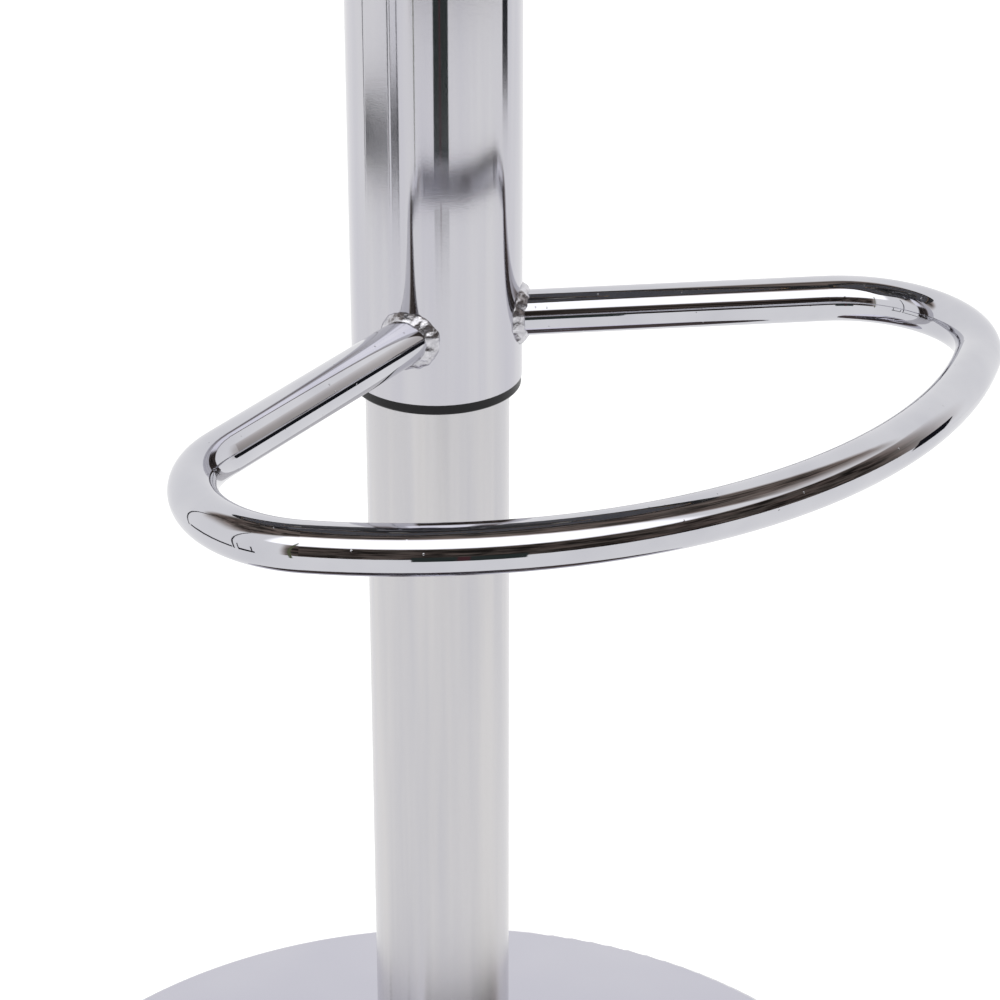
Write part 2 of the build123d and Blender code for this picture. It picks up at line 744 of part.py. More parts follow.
parts = {
    "base_shell": base_shell(),
    "base_ballast": base_ballast(),
    "base_floor_ring": base_floor_ring(),
    "base_bolts": base_bolts(),
    "base_bolt_washers": base_bolt_washers(),
    "column_flange": column_flange(),
    "column_flange_weld": column_flange_weld(),
    "column_collar": column_collar(),
    "lower_column": lower_column(),
    "column_end_disc": column_end_disc(),
    "column_guide_bush": column_guide_bush(),
    "bearing_lower_race": bearing_race(end_disc_top, rod_radius + hole_gap),
    "bearing_cage": bearing_cage(),
    "bearing_balls": bearing_balls(),
    "bearing_upper_race": bearing_race(upper_race_foot, rod_neck_radius + seat_gap),
    "piston_rod": piston_rod(),
    "piston_head": piston_head(),
    "piston_ring": piston_ring(),
    "rubber_bumper": rubber_bumper(),
    "rod_washer": rod_washer(),
    "rod_clip": rod_clip(),
    "gas_cylinder": gas_cylinder(),
    "cylinder_gland": cylinder_gland(),
    "valve_body": valve_body(),
    "release_pin": release_pin(),
    "upper_sleeve": upper_sleeve(),
    "sleeve_glide_bush": sleeve_glide_bush(),
    "foot_ring": foot_ring(),
    "foot_ring_welds": foot_ring_welds(),
    "seat_plate": seat_plate(),
    "taper_socket": taper_socket(),
    "sleeve_top_weld": sleeve_top_weld(),
    "lever_bracket": lever_bracket(),
    "lever_pivot_pin": lever_pivot_pin(),
    "lever_pivot_clips": lever_pivot_clips(),
    "lever_arm": lever_arm(),
    "lever_rod": lever_rod(),
    "lever_grip": lever_grip(),
    "seat_board": seat_board(),
    "seat_t_nuts": seat_t_nuts(),
    "seat_screws": seat_screws(),
    "seat_screw_washers": seat_screw_washers(),
    "seat_foam": seat_foam(),
    "seat_cover": seat_cover(),
    "seat_dust_cover": seat_dust_cover(),
}

os.makedirs("parts", exist_ok=True)
for name, shape in parts.items():
    export_step(shape, f"parts/{name}.step")
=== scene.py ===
import math
import bmesh
import bpy
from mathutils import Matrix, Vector, noise
from mathutils.bvhtree import BVHTree
from mathutils.kdtree import KDTree


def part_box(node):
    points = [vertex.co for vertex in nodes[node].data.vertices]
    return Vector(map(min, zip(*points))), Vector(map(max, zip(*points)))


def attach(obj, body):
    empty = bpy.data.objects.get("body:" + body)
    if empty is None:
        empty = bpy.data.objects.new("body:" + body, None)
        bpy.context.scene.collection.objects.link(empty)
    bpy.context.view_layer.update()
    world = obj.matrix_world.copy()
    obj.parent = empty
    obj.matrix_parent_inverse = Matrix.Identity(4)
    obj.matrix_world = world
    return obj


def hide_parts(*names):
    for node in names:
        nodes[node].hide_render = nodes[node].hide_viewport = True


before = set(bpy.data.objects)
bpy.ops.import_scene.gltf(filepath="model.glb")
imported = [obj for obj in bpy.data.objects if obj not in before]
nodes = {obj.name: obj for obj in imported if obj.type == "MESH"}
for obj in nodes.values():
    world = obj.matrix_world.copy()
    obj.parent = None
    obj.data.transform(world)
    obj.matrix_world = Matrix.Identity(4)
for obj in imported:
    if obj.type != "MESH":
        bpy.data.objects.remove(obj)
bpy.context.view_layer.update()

mm = 0.001
print("frame loaded,", len(nodes), "CAD nodes")


cameraView = {
    "lens": 113.0,          # on a 36 mm sensor
    "distance": 1.0146,     # from the column's axis, measured level
    "height": 0.8125,
    "side": -31.4,          # degrees round from the front, towards the lever's side
    "down": 25.88,
    "turn": -1.25,
}


def makeCamera():
    data = bpy.data.cameras.new("camera")
    data.lens = cameraView["lens"]
    data.sensor_width = 36.0
    data.clip_start = 0.02
    data.clip_end = 50.0
    camera = bpy.data.objects.new("camera", data)
    bpy.context.scene.collection.objects.link(camera)
    side = math.radians(cameraView["side"])
    reach = cameraView["distance"]
    camera.location = (reach * math.sin(side), -reach * math.cos(side), cameraView["height"])
    camera.rotation_euler = (
        math.radians(90 - cameraView["down"]),
        0,
        side + math.radians(cameraView["turn"]),
    )
    bpy.context.scene.camera = camera


def band(first, second, count):
    # faces between two closed rings of points, from the number of each ring's first point
    return [
        (first + i, first + (i + 1) % count, second + (i + 1) % count, second + i)
        for i in range(count)
    ]


def hexColour(code):
    # sRGB hex to the linear values that Blender's sockets take
    parts = [int(code[i:i + 2], 16) / 255 for i in (1, 3, 5)]
    linear = [p / 12.92 if p <= 0.04045 else ((p + 0.055) / 1.055) ** 2.4 for p in parts]
    return (*linear, 1.0)


def addNode(tree, kind, settings=None, inputs=None):
    node = tree.nodes.new(kind)
    for key, value in (settings or {}).items():
        setattr(node, key, value)
    for key, value in (inputs or {}).items():
        if isinstance(value, bpy.types.NodeSocket):
            tree.links.new(value, node.inputs[key])
        else:
            node.inputs[key].default_value = value
    return node


def addMath(tree, operation, a, b=0.0):
    return addNode(tree, "ShaderNodeMath", {"operation": operation}, {0: a, 1: b}).outputs[0]


def addStep(tree, value, low, high):
    # 0 at low and 1 at high, eased, whichever of the two is larger
    settings = {"interpolation_type": "SMOOTHSTEP", "clamp": True}
    inputs = {"Value": value, "From Min": low, "From Max": high}
    return addNode(tree, "ShaderNodeMapRange", settings, inputs).outputs[0]


def addRange(tree, factor, low, high):
    inputs = {"Value": factor, "To Min": low, "To Max": high}
    return addNode(tree, "ShaderNodeMapRange", inputs=inputs).outputs[0]


def addMix(tree, share, first, second):
    inputs = {0: share, 1: first.outputs[0], 2: second.outputs[0]}
    return addNode(tree, "ShaderNodeMixShader", inputs=inputs)


def addObject(name, mesh, smooth=True):
    thing = bpy.data.objects.new(name, mesh)
    bpy.context.scene.collection.objects.link(thing)
    if smooth:
        mesh.polygons.foreach_set("use_smooth", [True] * len(mesh.polygons))
    return thing


def meshFrom(name, points, faces=(), edges=()):
    mesh = bpy.data.meshes.new(name)
    mesh.from_pydata([tuple(p) for p in points], list(edges), list(faces))
    mesh.update()
    return mesh


# A pale sweep and soft light all round; bright metal also needs something dark to mirror,
# so glossy rays see a dim room in front, a dark ceiling and a few stands on the floor.
studio = {
    "floorRadius": 1.85,
    "floorTone": "#E8E8E8",
    "floorGlow": 0.46,
    "wallLight": 1.0,
    "softLight": 0.72,              # what the room gives to everything matt
    "softbox": 1.8,
    "ceilingTone": (0.05, 0.30),
    "roomTone": (0.02, 0.17),
    "ceilingSpan": (-20, 29),       # degrees off straight up, front to back
    "ceilingEnds": (0.92, 0.62),    # sine of the sideways angle, light to dark
    "roomLeft": (-35, -27),         # bearings in degrees, light to dark
    "roomRight": (122, 88),
    "roomTop": (29, 25),            # degrees up, light to dark
    "softboxWide": (-47, 56),
    "softboxHigh": (29, 70),
    "clutterSize": 7.0,
    "keyPower": 26.0,
    "fillPower": 9.0,
}
# bearing from the camera's own, half width (degrees), distance, foot, top (metres), colour
stands = [
    (8.0, 9.5, 1.22, 0.0, 0.26, "#323937"),
    (7.0, 1.0, 1.18, 0.0, 0.26, "#4C3034"),
    (-52.5, 5.5, 1.27, 0.0, 0.07, "#0A0B10"),
    (-48.6, 0.5, 1.24, 0.0, 0.3, "#1A1B20"),
    (-58.0, 0.4, 1.24, 0.0, 0.3, "#2A2B30"),
    (-82.0, 19.0, 1.28, 0.0, 0.055, "#23242A"),
    (-103.0, 0.7, 1.25, 0.0, 1.5, "#2A2B30"),
    (-61.5, 0.6, 1.25, 0.0, 1.5, "#2A2B30"),
    (-26.0, 0.5, 1.30, 0.0, 1.4, "#63684F"),
    (103.0, 5.5, 1.45, 0.0, 0.3, "#1A1B20"),
]


def makeWorld():
    world = bpy.data.worlds.new("studioRoom")
    bpy.context.scene.world = world
    world.use_nodes = True
    tree = world.node_tree
    tree.nodes.clear()
    place = addNode(tree, "ShaderNodeTexCoord")
    turn = (0, 0, -math.radians(cameraView["side"]))
    turned = addNode(
        tree, "ShaderNodeMapping", inputs={"Vector": place.outputs["Generated"], "Rotation": turn}
    )
    x, y, z = addNode(tree, "ShaderNodeSeparateXYZ", inputs={"Vector": turned.outputs[0]}).outputs

    def times(*factors):
        product = factors[0]
        for factor in factors[1:]:
            product = addMath(tree, "MULTIPLY", product, factor)
        return product

    def between(value, low, high, edge):
        rising = addStep(tree, value, low - edge, low + edge)
        return times(rising, addStep(tree, value, high + edge, high - edge))

    overhead = addMath(tree, "DEGREES", addMath(tree, "ARCTAN2", y, z))      # -90 front, 90 back
    rise = addMath(tree, "DEGREES", addMath(tree, "ARCSINE", z))
    bearing = addMath(tree, "DEGREES", addMath(tree, "ARCTAN2", x, times(y, -1.0)))
    sideways = addMath(tree, "ABSOLUTE", x)

    ceiling = times(
        between(overhead, *studio["ceilingSpan"], 4.5),
        addStep(tree, sideways, *studio["ceilingEnds"]),
        addStep(tree, z, 0.2, 0.3),
    )
    room = times(
        addStep(tree, bearing, *studio["roomLeft"]),
        addStep(tree, bearing, *studio["roomRight"]),
        addStep(tree, rise, *studio["roomTop"]),
    )
    softbox = times(
        between(bearing, *studio["softboxWide"], 4),
        between(rise, *studio["softboxHigh"], 1.5),
    )
    dark = addMath(tree, "MAXIMUM", ceiling, room)

    extra = times(softbox, studio["softbox"] - studio["wallLight"])
    level = addMath(tree, "ADD", extra, studio["wallLight"])
    level = times(level, addMath(tree, "SUBTRACT", 1.0, dark))
    # things standing about in the dim room, a hand's breadth to a door's width across
    clutter = addNode(
        tree, "ShaderNodeTexNoise",
        inputs={
            "Vector": turned.outputs[0],
            "Scale": studio["clutterSize"],
            "Detail": 3.0,
            "Roughness": 0.7,
        },
    )
    shapes = addStep(tree, clutter.outputs["Fac"], 0.36, 0.66)
    for mask, (least, most) in ((ceiling, studio["ceilingTone"]), (room, studio["roomTone"])):
        level = addMath(tree, "ADD", level, times(mask, addRange(tree, shapes, least, most)))
    hues = addNode(tree, "ShaderNodeValToRGB", inputs={"Fac": clutter.outputs["Color"]})
    hues.color_ramp.elements[0].color = hexColour("#B9C7B4")
    hues.color_ramp.elements[1].color = hexColour("#E2A08E")
    tint = addNode(
        tree, "ShaderNodeMix", {"data_type": "RGBA"},
        {0: times(dark, 0.8), 6: (1, 1, 1, 1), 7: hues.outputs[0]},
    )

    def backdrop(strength, colour=(1, 1, 1, 1)):
        inputs = {"Strength": strength, "Color": colour}
        return addNode(tree, "ShaderNodeBackground", inputs=inputs)

    mirrored = backdrop(level, tint.outputs[2])
    plain = backdrop(1.0)
    soft = backdrop(studio["softLight"])
    rays = addNode(tree, "ShaderNodeLightPath")
    seen = addMix(tree, rays.outputs["Is Camera Ray"], soft, plain)
    mix = addMix(tree, rays.outputs["Is Glossy Ray"], seen, mirrored)
    addNode(tree, "ShaderNodeOutputWorld", inputs={"Surface": mix.outputs[0]})


def glowMaterial(name, code):
    material = bpy.data.materials.new(name)
    material.use_nodes = True
    tree = material.node_tree
    tree.nodes.clear()
    glow = addNode(tree, "ShaderNodeEmission", inputs={"Color": hexColour(code), "Strength": 1.0})
    addNode(tree, "ShaderNodeOutputMaterial", inputs={"Surface": glow.outputs[0]})
    return material


def makeFloor():
    mesh = bpy.data.meshes.new("floor")
    disc = bmesh.new()
    bmesh.ops.create_circle(disc, cap_ends=True, segments=128, radius=studio["floorRadius"])
    disc.to_mesh(mesh)
    disc.free()
    floor = addObject("floor", mesh, smooth=False)
    material = bpy.data.materials.new("paleFloor")
    material.use_nodes = True
    tree = material.node_tree
    tree.nodes.clear()
    matt = addNode(tree, "ShaderNodeBsdfDiffuse", inputs={"Color": hexColour(studio["floorTone"])})
    lift = addNode(tree, "ShaderNodeEmission", inputs={"Strength": studio["floorGlow"]})
    both = addNode(tree, "ShaderNodeAddShader", inputs={0: matt.outputs[0], 1: lift.outputs[0]})
    mirrored = addNode(tree, "ShaderNodeEmission", inputs={"Strength": studio["wallLight"]})
    rays = addNode(tree, "ShaderNodeLightPath")
    mix = addMix(tree, rays.outputs["Is Glossy Ray"], both, mirrored)
    addNode(tree, "ShaderNodeOutputMaterial", inputs={"Surface": mix.outputs[0]})
    mesh.materials.append(material)


def makeStands():
    for number, (bearing, half, distance, foot, top, code) in enumerate(stands):
        corners = []
        for step in range(9):
            angle = math.radians(cameraView["side"] + bearing - half + step * half / 4)
            spot = Vector((math.sin(angle), -math.cos(angle), 0)) * distance
            corners += [spot + Vector((0, 0, foot)), spot + Vector((0, 0, top))]
        faces = [(2 * i, 2 * i + 2, 2 * i + 3, 2 * i + 1) for i in range(8)]
        name = f"stand{number}"
        stand = addObject(name, meshFrom(name, corners, faces), smooth=False)
        stand.data.materials.append(glowMaterial(f"standDark{number}", code))
        stand.visible_camera = False
        stand.visible_diffuse = False
        stand.visible_shadow = False
        stand.visible_transmission = False


def makeLamp(name, power, size, spot, aim):
    data = bpy.data.lights.new(name, "AREA")
    data.energy = power
    data.size = size
    lamp = bpy.data.objects.new(name, data)
    bpy.context.scene.collection.objects.link(lamp)
    lamp.location = spot
    lamp.rotation_euler = (Vector(aim) - Vector(spot)).to_track_quat("-Z", "Y").to_euler()
    lamp.visible_camera = False
    lamp.visible_glossy = False


makeCamera()
makeWorld()
makeFloor()
makeStands()
makeLamp("keyLight", studio["keyPower"], 0.9, (-1.3, -1.6, 2.1), (0, 0, 0.5))
makeLamp("fillLight", studio["fillPower"], 1.2, (1.8, 0.9, 1.5), (0, 0, 0.6))
bpy.context.scene.view_settings.view_transform = "Standard"
print("camera, studio and lights ready")


def newSurface(name):
    material = bpy.data.materials.new(name)
    material.use_nodes = True
    tree = material.node_tree
    tree.nodes.clear()
    return material, tree, addNode(tree, "ShaderNodeTexCoord").outputs["Object"]


def endSurface(tree, inputs):
    shader = addNode(tree, "ShaderNodeBsdfPrincipled", inputs=inputs)
    addNode(tree, "ShaderNodeOutputMaterial", inputs={"Surface": shader.outputs[0]})


def addNoise(tree, coords, stretch, detail=2.0, rough=0.5):
    # stretch is the size in mm of a feature along X, Y and Z
    scale = tuple(1 / (s * mm) for s in stretch)
    laid = addNode(tree, "ShaderNodeMapping", inputs={"Vector": coords, "Scale": scale})
    grain = addNode(
        tree, "ShaderNodeTexNoise",
        inputs={"Vector": laid.outputs[0], "Scale": 1.0, "Detail": detail, "Roughness": rough},
    )
    return grain.outputs["Fac"]


def addBands(tree, coords, way, width, distortion, detail=2.0):
    # light and dark bands by turns, each of this width in mm
    scale = 1 / (20 * width * mm) * math.pi     # the wave turns 20 radians in a unit
    inputs = {"Vector": coords, "Scale": scale, "Distortion": distortion, "Detail": detail}
    settings = {"wave_type": "BANDS", "bands_direction": way}
    return addNode(tree, "ShaderNodeTexWave", settings, inputs).outputs["Fac"]


def addTones(tree, factor, low, high, start=0.3, end=0.7):
    ramp = addNode(tree, "ShaderNodeValToRGB", inputs={"Fac": factor})
    ramp.color_ramp.elements[0].position = start
    ramp.color_ramp.elements[1].position = end
    ramp.color_ramp.elements[0].color = hexColour(low)
    ramp.color_ramp.elements[1].color = hexColour(high)
    return ramp.outputs[0]


def addBump(tree, height, depth, strength=1.0, under=None):
    inputs = {"Height": height, "Distance": depth * mm, "Strength": strength}
    if under is not None:
        inputs["Normal"] = under
    return addNode(tree, "ShaderNodeBump", inputs=inputs).outputs[0]


def beltPolishedChrome(name, low, high, rough):
    # Chromium plate on drawn tube that a belt polished round its girth: it smears what it
    # mirrors up and down the tube, and keeps the sides of it sharp.
    material, tree, coords = newSurface(name)
    wash = addNoise(tree, coords, (9, 9, 260), 3)
    grit = addNoise(tree, coords, (1.8, 1.8, 0.4), 3, 0.65)     # belt marks, coarser than real
    drawn = addNoise(tree, coords, (2.2, 2.2, 120), 2)          # faint lines from the drawing die
    normal = addBump(tree, grit, 0.0045)
    normal = addBump(tree, drawn, 0.006, under=normal)
    round_ = addNode(tree, "ShaderNodeTangent", {"direction_type": "RADIAL", "axis": "Z"})
    endSurface(tree, {
        "Base Color": addTones(tree, wash, low, high),
        "Metallic": 1.0,
        "Roughness": addRange(tree, grit, rough * 0.85, rough * 1.15),
        "Anisotropic": 0.8,
        "Anisotropic Rotation": 0.25,
        "Tangent": round_.outputs[0],
        "Normal": normal,
    })
    return material


def mirrorChrome(name, low, high, rough):
    # Chromium over bright nickel, buffed to a mirror: specks where the plating caught dust
    material, tree, coords = newSurface(name)
    wash = addNoise(tree, coords, (30, 30, 30), 3)
    swell = addNoise(tree, coords, (11, 11, 11), 2)
    pits = addNode(tree, "ShaderNodeTexVoronoi", inputs={"Vector": coords, "Scale": 1 / (5.0 * mm)})
    speck = addStep(tree, pits.outputs["Distance"], 0.075, 0.03)
    normal = addBump(tree, swell, 0.012)
    normal = addBump(tree, speck, 0.05, under=normal)
    endSurface(tree, {
        "Base Color": addTones(tree, wash, low, high),
        "Metallic": 1.0,
        "Roughness": addRange(tree, wash, rough * 0.7, rough * 1.3),
        "Normal": normal,
    })
    return material


def spunChrome(name, low, high, rough):
    # Chromium plate on a disc spun over a former: barely seen rings about its centre
    material, tree, coords = newSurface(name)
    flat = addNode(
        tree, "ShaderNodeVectorMath", {"operation": "MULTIPLY"}, {0: coords, 1: (1, 1, 0)}
    )
    radius = addNode(tree, "ShaderNodeVectorMath", {"operation": "LENGTH"}, {0: flat.outputs[0]})
    reach = addNode(tree, "ShaderNodeCombineXYZ", inputs={"X": radius.outputs["Value"]}).outputs[0]
    rings = addNoise(tree, reach, (3.0, 3.0, 3.0), 3)
    wash = addNoise(tree, coords, (70, 70, 70), 2)
    endSurface(tree, {
        "Base Color": addTones(tree, wash, low, high),
        "Metallic": 1.0,
        "Roughness": addRange(tree, rings, rough * 0.8, rough * 1.2),
        "Normal": addBump(tree, rings, 0.004),
    })
    return material


def platedWeld(name):
    # Arc weld in mild steel, chromed over without grinding: lumpy, pitted, still bright, with
    # painted shade that is darker in the hollows between lumps and near-black in the pits
    material, tree, coords = newSurface(name)
    lumps = addNoise(tree, coords, (2.2, 2.2, 2.2), 4, 0.6)
    fine = addNoise(tree, coords, (0.7, 0.7, 0.7), 3, 0.7)
    pits = addStep(tree, fine, 0.33, 0.27)
    # painted shade: the colour follows the bumps, lighter on the raised lumps and near-black
    # #3C3A3C in the sunken pits
    tone = addNode(
        tree, "ShaderNodeMix", {"data_type": "RGBA"},
        {0: pits, 6: addTones(tree, lumps, "#B4B3B8", "#DCDBE0"), 7: hexColour("#3C3A3C")},
    )
    normal = addBump(tree, lumps, 0.28)
    normal = addBump(tree, fine, 0.05, under=normal)
    endSurface(tree, {
        "Base Color": tone.outputs[2],
        "Metallic": 1.0,
        "Roughness": addRange(tree, fine, 0.10, 0.30),
        "Normal": normal,
    })
    return material


def mouldedPlastic(name, low, high, rough, ior, texture=0.35):
    # Injection-moulded and fine spark-eroded texture: an even, dull-satin black
    material, tree, coords = newSurface(name)
    grain = addNoise(tree, coords, (texture, texture, texture), 2)
    flow = addNoise(tree, coords, (18, 18, 6), 2)
    endSurface(tree, {
        "Base Color": addTones(tree, flow, low, high),
        "Roughness": addRange(tree, grain, rough - 0.06, rough + 0.06),
        "IOR": ior,
        "Specular IOR Level": 0.3,
        "Normal": addBump(tree, grain, 0.02),
    })
    return material


def castIron(name):
    # Sand-cast iron dipped in black: coarse skin, a little brown where the dip is thin
    material, tree, coords = newSurface(name)
    sand = addNoise(tree, coords, (0.9, 0.9, 0.9), 4, 0.65)
    thin = addNoise(tree, coords, (25, 25, 25), 4, 0.6)
    endSurface(tree, {
        "Base Color": addTones(tree, thin, "#17171A", "#2B2725", 0.45, 0.75),
        "Metallic": 0.25,
        "Roughness": addRange(tree, sand, 0.45, 0.75),
        "Normal": addBump(tree, sand, 0.25),
    })
    return material


def zincPlate(name, low, high):
    # Steel hardware, electroplated in zinc and passivated: milky with a faint straw cast
    material, tree, coords = newSurface(name)
    bloom = addNoise(tree, coords, (2.5, 2.5, 2.5), 4, 0.6)
    turned = addNoise(tree, coords, (6, 6, 0.3), 2)
    endSurface(tree, {
        "Base Color": addTones(tree, bloom, low, high),
        "Metallic": 1.0,
        "Roughness": addRange(tree, bloom, 0.24, 0.42),
        "Normal": addBump(tree, turned, 0.006),
    })
    return material


def groundSteel(name):
    # Hardened bearing steel, centreless ground: bright, with lines across the axis
    material, tree, coords = newSurface(name)
    lines = addNoise(tree, coords, (8, 8, 0.25), 2)
    endSurface(tree, {
        "Base Color": addTones(tree, lines, "#BDBEC1", "#D6D6D8"),
        "Metallic": 1.0,
        "Roughness": addRange(tree, lines, 0.14, 0.24),
        "Normal": addBump(tree, lines, 0.002),
    })
    return material


def powderCoat(name, low, high):
    # Black polyester powder baked on pressed steel: satin, with orange peel 1.5 mm across
    material, tree, coords = newSurface(name)
    peel = addNoise(tree, coords, (1.5, 1.5, 1.5), 2)
    wear = addNoise(tree, coords, (22, 22, 22), 3)
    endSurface(tree, {
        "Base Color": addTones(tree, wear, low, high),
        "Roughness": addRange(tree, peel, 0.32, 0.46),
        "IOR": 1.5,
        "Coat Weight": 0.25,
        "Coat Roughness": 0.2,
        "Normal": addBump(tree, peel, 0.035),
    })
    return material


def birchPlywood(name):
    # Birch plywood: rotary-cut faces with long grain, and 1.4 mm plies along the edge
    material, tree, coords = newSurface(name)
    grain = addNoise(tree, coords, (90, 2.2, 40), 4, 0.6)
    plies = addBands(tree, coords, "Z", 1.4, 0.6, 1.0)
    both = addNode(
        tree, "ShaderNodeMath", {"operation": "MULTIPLY_ADD"},
        {0: plies, 1: 0.25, 2: addRange(tree, grain, 0.0, 0.75)},
    )
    endSurface(tree, {
        "Base Color": addTones(tree, both.outputs[0], "#A97B4C", "#D9B686", 0.25, 0.8),
        "Roughness": addRange(tree, grain, 0.55, 0.72),
        "IOR": 1.5,
        "Normal": addBump(tree, grain, 0.06),
    })
    return material


def leatherette(name, low, high):
    # PVC-coated cloth, embossed with a pebble grain about 1.4 mm across, with painted shade in the
    # creases between the pebbles: soft broad sheen
    material, tree, coords = newSurface(name)
    warp = addNode(
        tree, "ShaderNodeTexNoise",
        inputs={"Vector": coords, "Scale": 1 / (3.5 * mm), "Detail": 1.0},
    )
    bent = addNode(
        tree, "ShaderNodeVectorMath", {"operation": "MULTIPLY_ADD"},
        {0: warp.outputs["Color"], 1: (0.7 * mm,) * 3, 2: coords},
    ).outputs[0]
    pebble = addNode(
        tree, "ShaderNodeTexVoronoi", {"feature": "DISTANCE_TO_EDGE"},
        {"Vector": bent, "Scale": 1 / (1.5 * mm)},
    )
    pebbleDomesAndCreaseShade = addStep(tree, pebble.outputs["Distance"], 0.0, 0.28)
    crease = addNoise(tree, coords, (14, 14, 14), 4, 0.55)
    wear = addNoise(tree, coords, (60, 60, 60), 3)
    # painted shade: near-black #08080A in the creases between the pebbles, the wear tones on their
    # tops
    tone = addNode(
        tree, "ShaderNodeMix", {"data_type": "RGBA"},
        {0: pebbleDomesAndCreaseShade, 6: hexColour("#08080A"), 7: addTones(tree, wear, low, high)},
    )
    normal = addBump(tree, pebbleDomesAndCreaseShade, 0.11)
    normal = addBump(tree, crease, 0.5, 0.6, under=normal)
    endSurface(tree, {
        "Base Color": tone.outputs[2],
        "Roughness": addRange(tree, wear, 0.36, 0.48),
        "IOR": 1.53,
        "Specular IOR Level": 0.32,
        "Normal": normal,
    })
    return material


def spunbondCloth(name):
    # Charcoal spunbonded polypropylene: random fibres, pinched flat at points 1.6 mm apart
    material, tree, coords = newSurface(name)
    fibres = addNoise(tree, coords, (0.5, 3.0, 3.0), 4, 0.75)
    across = addNoise(tree, coords, (3.0, 0.5, 3.0), 4, 0.75)
    both = addMath(tree, "MAXIMUM", fibres, across)
    bonds = addNode(
        tree, "ShaderNodeTexVoronoi", {"feature": "F1"},
        {"Vector": coords, "Scale": 1 / (1.6 * mm), "Randomness": 0.12},
    )
    points = addStep(tree, bonds.outputs["Distance"], 0.34, 0.26)
    tone = addNode(
        tree, "ShaderNodeMix", {"data_type": "RGBA"},
        {
            0: points,
            6: addTones(tree, both, "#3A3A3E", "#5C5C61"),
            7: hexColour("#2E2E31"),
        },
    )
    normal = addBump(tree, both, 0.05)
    normal = addBump(tree, points, -0.10, under=normal)
    endSurface(tree, {
        "Base Color": tone.outputs[2],
        "Roughness": addRange(tree, points, 0.85, 0.55),
        "IOR": 1.49,
        "Sheen Weight": 0.2,
        "Normal": normal,
    })
    return material


def spunThread(name, low, high):
    # Bonded polyester sewing thread, three plies twisted: each turn carries a painted highlight,
    # lighter in the colour, over bumps along the same turns
    material, tree, coords = newSurface(name)
    twistAndHighlight = addBands(tree, coords, "DIAGONAL", 0.6, 1.0)
    endSurface(tree, {
        # painted highlight: the colour runs from dark to light across every turn of the twist
        "Base Color": addTones(tree, twistAndHighlight, low, high, 0.1, 0.9),
        "Roughness": 0.6,
        "IOR": 1.5,
        "Sheen Weight": 0.25,
        "Normal": addBump(tree, twistAndHighlight, 0.06),
    })
    return material


finishes = {
    "column": beltPolishedChrome("chromedColumnTube", "#C5C4C9", "#D2D0D1", 0.17),
    "sleeve": beltPolishedChrome("chromedSleeveTube", "#C4C3CB", "#CFCED2", 0.08),
    "ring": mirrorChrome("chromedBentTube", "#C2C2C9", "#CFCFD4", 0.035),
    "disc": spunChrome("chromedSpunSteel", "#C2C1CC", "#C8C7D0", 0.07),
    "weld": platedWeld("chromedWeldBead"),
    "acetal": mouldedPlastic("mouldedAcetal", "#0F0F12", "#151417", 0.34, 1.48),
    "grip": mouldedPlastic("mouldedNylonGrip", "#141416", "#1D1D20", 0.48, 1.53, 0.7),
    "rubber": mouldedPlastic("mouldedRubber", "#121213", "#1B1B1C", 0.72, 1.52, 0.9),
    "iron": castIron("dippedCastIron"),
    "zinc": zincPlate("zincPlatedSteel", "#B3B2A8", "#D3D2CB"),
    "steel": zincPlate("millSteel", "#7C7C80", "#97979A"),
    "ground": groundSteel("groundBearingSteel"),
    "powder": powderCoat("blackPowderCoat", "#121214", "#1A1A1C"),
    "plywood": birchPlywood("birchPlywood"),
    "leatherette": leatherette("blackLeatherette", "#0D0D0F", "#131316"),
    "backing": spunbondCloth("spunbondBacking"),
    # the thread's lighter colour is its painted highlight on each turn
    "thread": spunThread("bondedPolyesterThread", "#161618", "#303034"),
}
finishOf = {
    "column": ["lower_column"],
    "sleeve": ["upper_sleeve"],
    "ring": ["foot_ring", "lever_rod", "lever_arm"],
    "disc": ["base_shell", "column_collar"],
    "weld": ["foot_ring_welds", "sleeve_top_weld", "column_flange_weld"],
    "acetal": ["sleeve_glide_bush", "column_guide_bush", "bearing_cage", "cylinder_gland"],
    "grip": ["lever_grip"],
    "rubber": ["base_floor_ring", "rubber_bumper", "piston_ring"],
    "iron": ["base_ballast"],
    "zinc": [
        "base_bolts", "base_bolt_washers", "seat_screws", "seat_screw_washers", "seat_t_nuts",
        "rod_washer", "rod_clip", "lever_pivot_pin", "lever_pivot_clips",
    ],
    "steel": ["column_flange", "column_end_disc", "piston_head", "valve_body"],
    "ground": [
        "piston_rod", "bearing_lower_race", "bearing_upper_race", "bearing_balls", "release_pin",
    ],
    "powder": ["gas_cylinder", "seat_plate", "taper_socket", "lever_bracket"],
    "plywood": ["seat_board"],
    "leatherette": ["seat_cover", "seat_foam"],
    "backing": ["seat_dust_cover"],
}
for finish, names in finishOf.items():
    for name in names:
        for place in nodes[name].material_slots:
            place.material = finishes[finish]
print("finishes given to", sum(len(names) for names in finishOf.values()), "CAD nodes")


weldBead = {
    "armAngle": 25.7,       # degrees that each arm runs forward
    "armOffset": 7.3,       # mm in front of the axis where the arms' lines cross
    "thick": 3.5,           # mm, half the bead's width
    "high": 1.9,
    "proud": 0.2,
    "ripples": 13,
    "around": 264,
    "across": 22,
    "lumpSize": 4.2,        # mm
    "rough": 0.65,          # mm of unevenness
}


